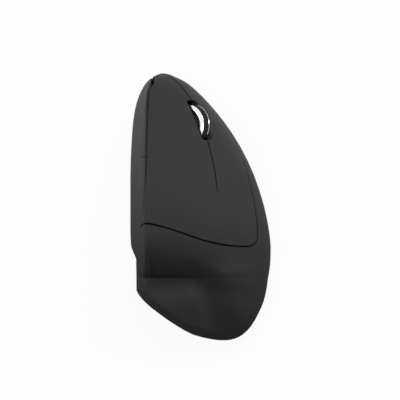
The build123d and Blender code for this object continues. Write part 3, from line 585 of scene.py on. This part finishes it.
@dataclass(frozen=True)
class HandRest:
    """The rest's worked form: the palm's back runs on to the tail on the right of a rounded lobe.

    The lengths are millimetres, seen from above. A ramp is where a rise begins and where it is full.
    """

    lobe_edge: tuple[tuple[float, float], ...] = (
        (-24.0, -31.3),
        (-9.4, -31.8),
        (-3.0, -33.5),
        (-0.1, -37.2),
        (1.4, -41.6),
        (2.6, -47.0),
        (4.0, -58.0),
    )
    palm_rise: float = 3.0
    palm_flank: Ramp = (0.0, 13.0)
    palm_left: Ramp = (-10.0, 3.0)
    palm_right: Ramp = (29.0, 15.0)
    palm_front: Ramp = (-23.0, -31.0)
    palm_tail: Ramp = (-57.0, -45.0)
    lobe_rise: float = 7.0
    lobe_side: Ramp = (5.0, -5.0)
    lobe_start: float = 0.6
    lobe_length: float = 15.0
    foot: float = -31.3
    foot_fill: float = 0.8
    foot_spread: float = 2.4
    foot_left: Ramp = (-9.0, -1.0)
    foot_right: Ramp = (17.0, 8.0)
    lowest: float = 14.0
    skirt: float = 6.0
    worked_left: float = -21.0
    worked_front: float = -25.0
    lobe_right: float = -8.0
    lobe_front: float = -29.5
    cell: float = 1.5
    passes: int = 6

    def past_lobe(self, x: float, y: float) -> float:
        """How far a place lies to the right of the lobe's edge, or in front of it.

        Args:
            x: The place across the mouse.
            y: The place along the mouse.

        Returns:
            The distance, negative over the lobe.
        """
        spot = Vector((x, y))
        nearest, side = math.inf, 1.0
        for start, end in zip(self.lobe_edge, self.lobe_edge[1:]):
            begin = Vector(start)
            along = Vector(end) - begin
            share = clamped((spot - begin).dot(along) / along.length_squared)
            off = spot - (begin + along * share)
            if off.length < nearest:
                nearest = off.length
                side = 1.0 if along.x * off.y - along.y * off.x > 0 else -1.0
        return nearest * side

    def lift(self, place: Vector) -> float:
        """How much the shell rises at a place.

        Args:
            place: A place on the shell, in metres.

        Returns:
            The rise in metres.
        """
        x, y, z = place / MM
        past = self.past_lobe(x, y)
        palm = eased(past, *self.palm_flank)
        palm *= eased(x, *self.palm_left) * eased(x, *self.palm_right)
        palm *= eased(y, *self.palm_front) * eased(y, *self.palm_tail)
        back = clamped((self.foot - self.lobe_start - y) / self.lobe_length)
        lobe = eased(past, *self.lobe_side) * math.sin(0.5 * math.pi * back)
        fill = math.exp(-(((y - self.foot) / self.foot_spread) ** 2))
        fill *= eased(x, *self.foot_left) * eased(x, *self.foot_right)
        rise = self.palm_rise * palm + self.lobe_rise * lobe + self.foot_fill * fill
        return rise * eased(z, self.lowest, self.lowest + self.skirt) * MM

    def holds(self, place: Vector) -> bool:
        """Whether a place belongs to the worked stretch.

        Args:
            place: A place on the shell, in metres.

        Returns:
            True where the shell is cut finely.
        """
        x, y, z = place / MM
        front = self.lobe_front if x < self.lobe_right else self.worked_front
        return y < front and x > self.worked_left and z > self.lowest

    def work(self, mesh: bmesh.types.BMesh) -> None:
        """Cuts the stretch finely and lifts it.

        Args:
            mesh: The palm shell's mesh.
        """
        for _ in range(self.passes):
            wide = [
                edge
                for edge in mesh.edges
                if edge.calc_length() > self.cell * MM and all(self.holds(vertex.co) for vertex in edge.verts)
            ]
            if not wide:
                break
            bmesh.ops.subdivide_edges(mesh, edges=wide, cuts=1, smooth=1.0, use_smooth_even=True)
            bmesh.ops.triangulate(mesh, faces=[face for face in mesh.faces if len(face.verts) > 3])
        for vertex in mesh.verts:
            vertex.co.z += self.lift(vertex.co)


@dataclass(frozen=True)
class Gap:
    """A seam beside a moulding, whose edge is moved to give it the width that shows."""

    neighbour: str
    wider: float
    foremost: float = math.inf
    reach: float = 0.75 * MM
    touching: float = 0.05 * MM
    least: float = 0.1 * MM

    def trim(self, mesh: bmesh.types.BMesh) -> None:
        """Moves the vertices beside the seam away from the neighbour, or nearer to it.

        Args:
            mesh: The moulding's mesh.
        """
        beside = merged_copy(self.neighbour)
        tree = BVHTree.FromBMesh(beside)
        for vertex in mesh.verts:
            if vertex.co.y >= self.foremost:
                continue
            spot, _, _, distance = tree.find_nearest(vertex.co, self.reach)
            if spot is not None and distance > self.touching:
                vertex.co += (vertex.co - spot).normalized() * max(self.wider, self.least - distance)
        beside.free()


@dataclass(frozen=True)
class Moulding:
    """One outer moulding: its node's form, with its seams, its root line and its rest worked on."""

    node: str
    slot: str
    root_slit: float = 0.0
    rest: HandRest | None = None
    gaps: tuple[Gap, ...] = ()
    edge_angle: float = 28.0
    root_reach: float = 0.02 * MM

    def build(self, finishes: Finishes) -> bpy.types.Object:
        """Makes the piece that stands for the node.

        Args:
            finishes: The finishes.

        Returns:
            The piece.
        """
        mesh = merged_copy(self.node)
        if self.root_slit > 0:
            back = min(vertex.co.y for vertex in mesh.verts)
            root = [vertex for vertex in mesh.verts if vertex.co.y < back + self.root_reach]
            bmesh.ops.translate(mesh, vec=(0.0, -self.root_slit, 0.0), verts=root)
        for gap in self.gaps:
            gap.trim(mesh)
        if self.rest is not None:
            self.rest.work(mesh)
        piece = mesh_piece(mesh, f"{self.node}_moulding", self.edge_angle)
        return finishes.fit(piece, self.slot, frame["nodes"][self.node]["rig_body"], self.node)


@dataclass
class CasingMouldings:
    """The shells, keys, thumb buttons, base and door."""

    shells: tuple[str, ...] = ("thumb_cover", "key_bridge")
    palm: str = "palm_shell"
    buttons: tuple[str, ...] = ("forward_button", "back_button")
    keys: tuple[str, str] = ("left_key", "right_key")
    underside: tuple[str, ...] = ("base_plate", "battery_door")
    root_slit: float = 0.3 * MM
    rear_seam: float = 0.2 * MM
    split: float = 0.1 * MM
    button_fit: float = 0.28 * MM

    def mouldings(self) -> list[Moulding]:
        """How each node of the casing is moulded.

        Returns:
            The mouldings, in the order in which they are made.
        """
        soft = "soft_touch_black"
        rear = Gap("key_bridge", self.rear_seam, foremost=0.0)
        closed = Gap("thumb_cover", -self.button_fit)
        listed = [Moulding(node, soft) for node in self.shells]
        listed.append(Moulding(self.palm, soft, rest=HandRest(), gaps=(rear,)))
        listed += [Moulding(node, soft, gaps=(closed,)) for node in self.buttons]
        for node, other in (self.keys, self.keys[::-1]):
            listed.append(Moulding(node, soft, root_slit=self.root_slit, gaps=(Gap(other, self.split),)))
        listed += [Moulding(node, "base_black") for node in self.underside]
        return listed

    def build(self, finishes: Finishes) -> list[bpy.types.Object]:
        """Makes all the mouldings.

        Args:
            finishes: The finishes.

        Returns:
            The pieces.
        """
        return [moulding.build(finishes) for moulding in self.mouldings()]


@dataclass
class ScrollWheel:
    """The wheel: a knurled rubber tread between two bright rims on a hub."""

    joint: str = "wheel_spin"
    radius: float = 8.8 * MM
    width: float = 5.2 * MM
    weld: float = 0.0001 * MM
    ribs: int = 36
    steps_a_rib: int = 3
    rib_height: float = 0.32 * MM
    rib_share: Ramp = (0.3, 0.97)
    rib_length_share: float = 0.93
    rib_bevel: float = 0.07 * MM
    rib_corner: float = 0.6
    tread_drop: float = 0.1 * MM
    tread_edge_angle: float = 40.0
    rim_width: float = 0.95 * MM
    rim_depth: float = 3.0 * MM
    rim_cone: float = 1.35 * MM
    rim_steps: int = 96
    rim_edge_angle: float = 50.0
    hub_share: float = 0.96
    hub_corner: float = 0.2 * MM
    shoulder_share: float = 0.985
    shoulder_from: float = 0.12 * MM
    shoulder_to: float = 0.05 * MM
    crown_share: float = 0.46
    lip: float = 0.2 * MM
    lip_round: tuple[float, float] = (0.08 * MM, 0.06 * MM)
    back_round: tuple[float, float] = (0.05 * MM, 0.04 * MM)
    back_drop: float = 0.25 * MM

    def placed(self) -> Matrix:
        """The turn and place of the wheel, from its own axis X to its joint's axis.

        Returns:
            The matrix that sets a ring in its place in the frame.
        """
        spin = next(joint for joint in frame["joints"] if joint["name"] == self.joint)
        across = Vector(spin["axis"]).normalized()
        ahead = Vector((0.0, 1.0, 0.0))
        turn = Matrix((across, ahead, across.cross(ahead))).transposed().to_4x4()
        return Matrix.Translation(spin["pos_m"]) @ turn

    def ring(self, outline: list[tuple[float, float]], steps: int) -> bmesh.types.BMesh:
        """Spins a closed outline about the wheel's axis.

        Args:
            outline: Points along the axis and out from it, in metres.
            steps: Faces round the ring.

        Returns:
            The ring at the origin.
        """
        build = bmesh.new()
        points = [build.verts.new((along, 0.0, out)) for along, out in outline]
        edges = [build.edges.new(pair) for pair in zip(points, points[1:] + points[:1])]
        bmesh.ops.spin(
            build,
            geom=points + edges,
            cent=(0.0, 0.0, 0.0),
            axis=(1.0, 0.0, 0.0),
            angle=2 * math.pi,
            steps=steps,
            use_merge=True,
        )
        bmesh.ops.remove_doubles(build, verts=build.verts, dist=self.weld)
        bmesh.ops.recalc_face_normals(build, faces=build.faces)
        return build

    def on_rib(self, face: bmesh.types.BMFace, groove: float) -> bool:
        """Whether a face of the plain ring carries a rib.

        Args:
            face: The face.
            groove: The radius at the bottom of the grooves.

        Returns:
            True for a face of the rolling surface that lies on a rib.
        """
        spot = face.calc_center_median()
        if spot.yz.length < groove - self.tread_drop / 2:
            return False
        place = (math.atan2(spot.y, spot.z) / (2 * math.pi) * self.ribs) % 1.0
        return self.rib_share[0] < place < self.rib_share[1]

    def tread(self, finishes: Finishes) -> bpy.types.Object:
        """The rubber tread with its ribs.

        Args:
            finishes: The finishes.

        Returns:
            The tread.
        """
        half = self.width / 2 - self.rim_width
        inner = self.radius - self.rim_depth
        groove = self.radius - self.rib_height - self.tread_drop
        outline = [(-half, inner), (half, inner), (half, groove), (0.0, groove), (-half, groove)]
        build = self.ring(outline, self.ribs * self.steps_a_rib)
        chosen = [face for face in build.faces if self.on_rib(face, groove)]
        swollen = bmesh.ops.extrude_face_region(build, geom=chosen)["geom"]
        for vertex in (item for item in swollen if isinstance(item, bmesh.types.BMVert)):
            vertex.co += Vector((0.0, vertex.co.y, vertex.co.z)).normalized() * self.rib_height
            vertex.co.x *= self.rib_length_share
        bmesh.ops.delete(build, geom=chosen, context="FACES_ONLY")
        bmesh.ops.recalc_face_normals(build, faces=build.faces)
        corners = [
            edge
            for edge in build.edges
            if len(edge.link_faces) == 2
            and edge.calc_face_angle(0.0) > self.rib_corner
            and min(vertex.co.yz.length for vertex in edge.verts) > groove + self.tread_drop
        ]
        bmesh.ops.bevel(
            build,
            geom=corners,
            offset=self.rib_bevel,
            segments=2,
            profile=0.5,
            affect="EDGES",
            material=-1,
        )
        build.transform(self.placed())
        piece = mesh_piece(build, "wheel_tread_ribbed", self.tread_edge_angle)
        return finishes.fit(piece, "tread_rubber", "wheel", "wheel_tread")

    def rim(self, finishes: Finishes, side: int, node: str) -> bpy.types.Object:
        """One bright rim: a thin lip beside the tread, from which a cone falls to the hub.

        Args:
            finishes: The finishes.
            side: -1 for the left rim, 1 for the right one.
            node: The node that it stands for.

        Returns:
            The rim.
        """
        near = side * (self.width / 2 - self.rim_width)
        far = side * self.width / 2
        lip = near + side * self.lip
        inner = self.radius - self.rim_depth
        shoulder = self.radius - self.rim_cone
        outline = [
            (near, inner),
            (far * self.hub_share, inner),
            (far, inner + self.hub_corner),
            (far, shoulder - self.shoulder_from),
            (far * self.shoulder_share, shoulder + self.shoulder_to),
            ((far + lip) / 2, self.radius - self.crown_share * self.rim_cone),
            (lip + side * self.lip_round[0], self.radius - self.lip_round[1]),
            (lip, self.radius),
            (near + side * self.back_round[0], self.radius - self.back_round[1]),
            (near, self.radius - self.back_drop),
        ]
        build = self.ring(outline, self.rim_steps)
        build.transform(self.placed())
        piece = mesh_piece(build, f"{node}_plated", self.rim_edge_angle)
        return finishes.fit(piece, "bright_chrome", "wheel", node)

    def build(self, finishes: Finishes) -> list[bpy.types.Object]:
        """Makes the visible pieces of the wheel.

        Args:
            finishes: The finishes.

        Returns:
            The pieces.
        """
        return [
            self.tread(finishes),
            self.rim(finishes, -1, "left_wheel_rim"),
            self.rim(finishes, 1, "right_wheel_rim"),
        ]


@dataclass
class CaseScrews:
    """The case screws: round heads with a cross recess, on their shanks, where the node's screws stand."""

    node: str = "case_screws"
    sides: int = 32
    face: float = 0.6 * MM
    shoulder: float = 1.65 * MM
    tip: float = 10.0 * MM
    head_radius: float = 1.9 * MM
    head_round: tuple[float, float] = (0.2 * MM, 0.25 * MM)
    shank_radius: float = 0.95 * MM
    tip_round: tuple[float, float] = (0.3 * MM, 0.4 * MM)
    arm: float = 1.15 * MM
    arm_half: float = 0.3 * MM
    recess: float = 0.7 * MM
    recess_share: float = 0.75
    first_turn: float = 3.95
    turn_step: float = -0.9

    def cross(self, build: bmesh.types.BMesh, turn: float) -> list[bmesh.types.BMVert]:
        """Adds the corners of the cross.

        Args:
            build: The mesh that they are added to.
            turn: How far the cross is turned, in radians.

        Returns:
            The corners, in order.
        """
        quarter = [(self.arm, -self.arm_half), (self.arm, self.arm_half), (self.arm_half, self.arm_half)]
        corners = []
        for step in range(4):
            turned = Matrix.Rotation(turn + step * math.pi / 2, 3, "Z")
            corners += [build.verts.new(turned @ Vector((x, y, 0.0))) for x, y in quarter]
        return corners

    def screw(self, build: bmesh.types.BMesh, turn: float) -> list[bmesh.types.BMVert]:
        """Adds one screw about the Z axis.

        Args:
            build: The mesh that it is added to.
            turn: How far its cross is turned, in radians.

        Returns:
            The screw's vertices.
        """
        flat = self.head_radius - self.head_round[0]
        rim = bmesh.ops.create_circle(build, segments=self.sides, radius=flat)["verts"]
        corners = self.cross(build, turn)
        made = rim + corners
        loop = [edge for edge in build.edges if edge.verts[0] in rim and edge.verts[1] in rim]
        outline = [build.edges.new(pair) for pair in zip(corners, corners[1:] + corners[:1])]
        bmesh.ops.translate(build, vec=(0.0, 0.0, self.face), verts=made)
        bmesh.ops.triangle_fill(build, edges=loop + outline, use_beauty=True)
        floor, bottom = drawn_out(build, outline)
        for vertex in floor:
            deep = vertex.co.to_2d() * self.recess_share
            vertex.co = (*deep, self.face + self.recess)
        bmesh.ops.edgeloop_fill(build, edges=bottom)
        made += floor
        steps = (
            (self.head_radius, self.face + self.head_round[1]),
            (self.head_radius, self.shoulder),
            (self.shank_radius, self.shoulder),
            (self.shank_radius, self.tip - self.tip_round[1]),
            (self.shank_radius - self.tip_round[0], self.tip),
        )
        for radius, height in steps:
            ring, loop = drawn_out(build, loop)
            for vertex in ring:
                vertex.co = (*(vertex.co.to_2d().normalized() * radius), height)
            made += ring
        bmesh.ops.edgeloop_fill(build, edges=loop)
        return made

    def build(self, finishes: Finishes) -> list[bpy.types.Object]:
        """Makes all the screws.

        Args:
            finishes: The finishes.

        Returns:
            The one piece that holds them.
        """
        build = bmesh.new()
        for number, middle in enumerate(body_middles(self.node)):
            made = self.screw(build, self.first_turn + self.turn_step * number)
            bmesh.ops.translate(build, vec=middle, verts=made)
        bmesh.ops.recalc_face_normals(build, faces=build.faces)
        return [finishes.fit(mesh_piece(build, "case_screws_crossed"), "steel", "case", self.node)]


@dataclass
class GlideFeet:
    """The four glide feet, with the right one drawn in to the base plate's edge."""

    node: str = "glide_feet"
    right_of: float = 20.0 * MM
    drawn_in: float = 2.2 * MM

    def build(self, finishes: Finishes) -> list[bpy.types.Object]:
        """Makes the feet.

        Args:
            finishes: The finishes.

        Returns:
            The one piece that holds them.
        """
        build = merged_copy(self.node)
        outer = [vertex for vertex in build.verts if vertex.co.x > self.right_of]
        bmesh.ops.translate(build, vec=(-self.drawn_in, 0.0, 0.0), verts=outer)
        return [finishes.fit(mesh_piece(build, "glide_feet_drawn_in"), "foot_plastic", "case", self.node)]


@dataclass
class BatterySeal:
    """Foam seal over the gap round the battery door, inside the bay."""

    left: float = -22.4 * MM
    right: float = -7.2 * MM
    rear: float = -36.0 * MM
    front: float = 15.8 * MM
    bottom: float = 2.95 * MM
    thickness: float = 0.3 * MM
    width: float = 0.9 * MM

    def build(self, finishes: Finishes) -> list[bpy.types.Object]:
        """Makes the seal.

        Args:
            finishes: The finishes.

        Returns:
            The seal alone.
        """
        build = bmesh.new()
        bmesh.ops.create_grid(build, x_segments=1, y_segments=1, size=0.5)
        bmesh.ops.scale(build, vec=(self.right - self.left, self.front - self.rear, 1.0), verts=build.verts)
        middle = ((self.left + self.right) / 2, (self.rear + self.front) / 2, self.bottom + self.thickness)
        bmesh.ops.translate(build, vec=middle, verts=build.verts)
        opening = list(build.faces)
        bmesh.ops.inset_region(
            build, faces=opening, thickness=self.width, use_boundary=True, use_even_offset=True
        )
        bmesh.ops.delete(build, geom=opening, context="FACES")
        bmesh.ops.solidify(build, geom=build.faces[:], thickness=self.thickness)
        bmesh.ops.recalc_face_normals(build, faces=build.faces)
        return [finishes.fit(mesh_piece(build, "battery_bay_seal"), "inner_plastic", "case")]


class CarriedNodes:
    """The nodes that no piece stands for, which stay as they are."""

    def build(self, finishes: Finishes) -> list[bpy.types.Object]:
        """Gives each remaining node the finish of its slot.

        Args:
            finishes: The finishes.

        Returns:
            The nodes.
        """
        made = []
        for part in frame["record"]["subparts"]:
            node = frame["nodes"][part["node"]]
            if not node.hide_render:
                finishes.dress(node, part["material_slot"])
                made.append(node)
        return made


@dataclass(frozen=True)
class SoftLamp:
    """A soft rectangular lamp that looks at the mouse, in metres and watts."""

    name: str
    place: tuple[float, float, float]
    size: tuple[float, float]
    power: float
    aim: tuple[float, float, float] = (0.0, 0.0, 0.02)

    def build(self) -> None:
        """Hangs the lamp."""
        data = bpy.data.lights.new(self.name, "AREA")
        data.shape = "RECTANGLE"
        data.size, data.size_y = self.size
        data.energy = self.power
        lamp = bpy.data.objects.new(self.name, data)
        lamp.location = self.place
        look = Vector(self.aim) - Vector(self.place)
        lamp.rotation_euler = look.to_track_quat("-Z", "Y").to_euler()
        bpy.context.scene.collection.objects.link(lamp)


@dataclass
class Studio:
    """Camera, floor, soft lamps and a pale world."""

    lens: float = 700.0
    sensor: float = 36.0
    sight: float = 20.0
    focus_height: float = 30.0 * MM
    rear_white: float = 0.05
    floor_half: float = 3.0
    floor_drop: float = 0.05 * MM
    floor_white: float = 0.93
    floor_fade: Ramp = (-0.06, 0.08)
    paper: float = 0.8
    sky: Colour = (0.96, 0.97, 1.0)
    sky_light: float = 0.15
    sky_fade: Ramp = (-1.0, -0.6)
    lamps: tuple[SoftLamp, ...] = (
        SoftLamp("front_softbox", (0.2, 0.62, 1.0), (0.5, 0.4), 6.6),
        SoftLamp("top_softbox", (-0.2, -0.12, 1.15), (0.5, 0.4), 4.4),
        SoftLamp("left_strip", (-0.9, 0.35, 0.25), (0.3, 0.6), 3.5),
        SoftLamp("right_strip", (0.9, 0.3, 0.2), (0.3, 0.6), 4.0),
    )

    def camera(self) -> None:
        """Sets the camera straight above the mouse, nose up."""
        data = bpy.data.cameras.new("photo_camera")
        data.lens = self.lens
        data.sensor_width = self.sensor
        data.clip_end = self.sight
        camera = bpy.data.objects.new("photo_camera", data)
        bpy.context.scene.collection.objects.link(camera)
        camera.location = (
            (PICTURE_SIDE / 2 - PICTURE_MIDDLE[0]) * PICTURE_SCALE,
            (PICTURE_MIDDLE[1] - PICTURE_SIDE / 2) * PICTURE_SCALE,
            self.focus_height + PICTURE_SIDE * PICTURE_SCALE * self.lens / self.sensor,
        )
        bpy.context.scene.camera = camera

    def looked_at(
        self, sheet: NodeSheet, place: bpy.types.NodeSocket, fade: Ramp, shown: float
    ) -> tuple[bpy.types.NodeSocket, bpy.types.NodeSocket]:
        """Where the plain white shows, and how strong it is: reflections get less of it towards the tail.

        Args:
            sheet: The nodes to add to.
            place: The place or direction that is looked at.
            fade: Where along Y the reflected white begins and where it is full.
            shown: How much of the white the camera sees over what lies under it.

        Returns:
            The share of white and its strength.
        """
        seen = sheet.add("ShaderNodeLightPath").outputs
        parts = sheet.add("ShaderNodeSeparateXYZ")
        along = sheet.add(
            "ShaderNodeMapRange",
            {"From Min": fade[0], "From Max": fade[1], "To Min": 1.0 - self.rear_white, "To Max": 0.0},
            interpolation_type="SMOOTHSTEP",
        )
        camera = sheet.add("ShaderNodeMath", {1: shown}, operation="MULTIPLY")
        either = sheet.add("ShaderNodeMath", operation="MAXIMUM")
        share = sheet.add("ShaderNodeMath", operation="MAXIMUM")
        dimmed = sheet.add("ShaderNodeMath", operation="MULTIPLY")
        strength = sheet.add("ShaderNodeMath", {0: 1.0}, operation="SUBTRACT")
        sheet.join(place, parts.inputs["Vector"])
        sheet.join(parts.outputs["Y"], along.inputs["Value"])
        sheet.join(seen["Is Camera Ray"], camera.inputs[0])
        sheet.join(seen["Is Glossy Ray"], either.inputs[0])
        sheet.join(seen["Is Transmission Ray"], either.inputs[1])
        sheet.join(camera.outputs[0], share.inputs[0])
        sheet.join(either.outputs[0], share.inputs[1])
        sheet.join(seen["Is Glossy Ray"], dimmed.inputs[0])
        sheet.join(along.outputs["Result"], dimmed.inputs[1])
        sheet.join(dimmed.outputs[0], strength.inputs[1])
        return share.outputs[0], strength.outputs[0]

    def floor(self) -> None:
        """Lays the pale floor: near white to the camera, with the mouse's shadow, and clear from below."""
        build = bmesh.new()
        bmesh.ops.create_grid(build, x_segments=1, y_segments=1, size=self.floor_half)
        bmesh.ops.translate(build, vec=(0.0, 0.0, -self.floor_drop), verts=build.verts)
        floor = mesh_piece(build, "studio_floor")
        material = bpy.data.materials.new("floor_paper")
        material.use_nodes = True
        sheet = NodeSheet(material.node_tree)
        out = sheet.add("ShaderNodeOutputMaterial")
        paper = sheet.add("ShaderNodeBsdfDiffuse", {"Color": (self.paper, self.paper, self.paper, 1.0)})
        glow = sheet.add("ShaderNodeEmission", {"Color": (1.0, 1.0, 1.0, 1.0)})
        place = sheet.add("ShaderNodeTexCoord")
        mix = sheet.add("ShaderNodeMixShader")
        clear = sheet.add("ShaderNodeBsdfTransparent")
        under = sheet.add("ShaderNodeNewGeometry")
        sides = sheet.add("ShaderNodeMixShader")
        share, strength = self.looked_at(sheet, place.outputs["Object"], self.floor_fade, self.floor_white)
        sheet.join(share, mix.inputs["Fac"])
        sheet.join(strength, glow.inputs["Strength"])
        sheet.join(paper.outputs["BSDF"], mix.inputs[1])
        sheet.join(glow.outputs["Emission"], mix.inputs[2])
        sheet.join(under.outputs["Backfacing"], sides.inputs["Fac"])
        sheet.join(mix.outputs["Shader"], sides.inputs[1])
        sheet.join(clear.outputs["BSDF"], sides.inputs[2])
        sheet.join(sides.outputs["Shader"], out.inputs["Surface"])
        floor.data.materials.append(material)

    def world(self) -> None:
        """Gives the scene a dim pale world that is white to the camera."""
        world = bpy.data.worlds.new("studio_world")
        world.use_nodes = True
        sheet = NodeSheet(world.node_tree)
        out = sheet.add("ShaderNodeOutputWorld")
        plain = sheet.add("ShaderNodeBackground", {"Color": (*self.sky, 1.0), "Strength": self.sky_light})
        white = sheet.add("ShaderNodeBackground", {"Color": (1.0, 1.0, 1.0, 1.0)})
        mix = sheet.add("ShaderNodeMixShader")
        place = sheet.add("ShaderNodeTexCoord")
        share, strength = self.looked_at(sheet, place.outputs["Generated"], self.sky_fade, 1.0)
        sheet.join(share, mix.inputs["Fac"])
        sheet.join(strength, white.inputs["Strength"])
        sheet.join(plain.outputs["Background"], mix.inputs[1])
        sheet.join(white.outputs["Background"], mix.inputs[2])
        sheet.join(mix.outputs["Shader"], out.inputs["Surface"])
        bpy.context.scene.world = world

    def build(self) -> None:
        """Sets up the whole studio."""
        bpy.context.scene.view_settings.view_transform = "Standard"
        self.camera()
        self.floor()
        self.world()
        for lamp in self.lamps:
            lamp.build()


def main() -> None:
    """Builds the mouse over its frame."""
    logging.basicConfig(level=logging.INFO, format="%(message)s")
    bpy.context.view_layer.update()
    Studio().build()
    finishes = Finishes()
    assemblies = (CasingMouldings(), ScrollWheel(), BatterySeal(), CaseScrews(), GlideFeet(), CarriedNodes())
    for assembly in assemblies:
        for piece in assembly.build(finishes):
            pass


if __name__ == "__main__":
    main()
